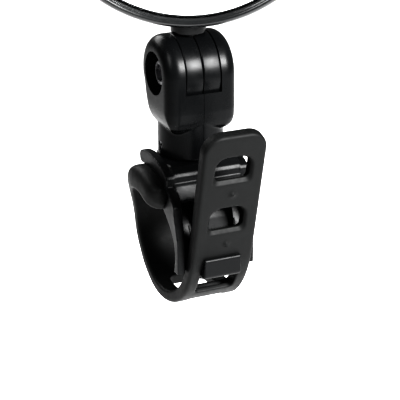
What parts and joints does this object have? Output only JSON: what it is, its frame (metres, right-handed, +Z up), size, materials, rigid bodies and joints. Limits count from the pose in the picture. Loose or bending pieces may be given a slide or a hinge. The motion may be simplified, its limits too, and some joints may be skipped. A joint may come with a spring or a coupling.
{
  "type": "bicycle mirror",
  "caption": "Small round convex mirror on a split swivel fork, held on a bicycle handlebar by a saddle and a hooked rubber strap.",
  "frame": {"origin": "centre of the clamped handlebar, under the swivel axis", "axes": "+X along the handlebar, -Y towards the rider and the glass, +Z up the swivel axis"},
  "size_m": [0.0663, 0.0421, 0.1385],
  "materials": {
    "saddle_plastic": "fine satin moulding",
    "strap_rubber": "matte moulded rubber",
    "fork_plastic": "fine satin moulding",
    "barrel_plastic": "fine satin moulding",
    "neck_plastic": "polished",
    "housing_plastic": "satin",
    "bezel_plastic": "semi-gloss",
    "mirror": "silvered, convex",
    "pad_foam": "adhesive foam",
    "black_steel": "black oxide",
    "plain_steel": "zinc plated",
    "spring_steel": "hardened",
    "washer_plastic": "acetal",
    "ring_rubber": "nitrile rubber"
  },
  "bodies": {
    "clamp": {"base_saddle": "saddle_plastic", "strap_loop": "strap_rubber", "swivel_post": "plain_steel", "post_screw": "plain_steel", "swivel_washer": "washer_plastic"},
    "tail": {"strap_tail": "strap_rubber"},
    "fork": {"fork_left": "fork_plastic", "fork_right": "fork_plastic", "swivel_spring_washer": "spring_steel", "swivel_set_screw": "black_steel", "clamp_screw": "black_steel", "screw_washer": "black_steel", "clamp_nut": "plain_steel", "friction_washer_left": "washer_plastic", "friction_washer_right": "washer_plastic"},
    "barrel": {"barrel_left": "barrel_plastic", "barrel_right": "barrel_plastic", "neck_friction_ring": "ring_rubber"},
    "head": {"mirror_neck": "neck_plastic", "mirror_housing": "housing_plastic", "mirror_bezel": "bezel_plastic", "mirror_glass": "mirror", "glass_pad": "pad_foam"}
  },
  "joints": [
    {"name": "fork_swivel", "type": "hinge", "parent": "clamp", "child": "fork", "pos_m": [0, 0, 0.0209], "axis": [0, 0, 1], "continuous": true},
    {"name": "head_pitch", "type": "hinge", "parent": "fork", "child": "barrel", "pos_m": [0, 0.0011, 0.0411], "axis": [1, 0, 0], "range_deg": [-50, 50]},
    {"name": "head_turn", "type": "hinge", "parent": "barrel", "child": "head", "pos_m": [0, 0.0011, 0.0502], "axis": [0, 0, 1], "continuous": true},
    {"name": "tail_flex", "type": "hinge", "parent": "clamp", "child": "tail", "pos_m": [0, -0.01758, 0.00385], "axis": [1, 0, 0], "range_deg": [0, 70], "stiffness_Nm_per_rad": 0.01}
  ]
}
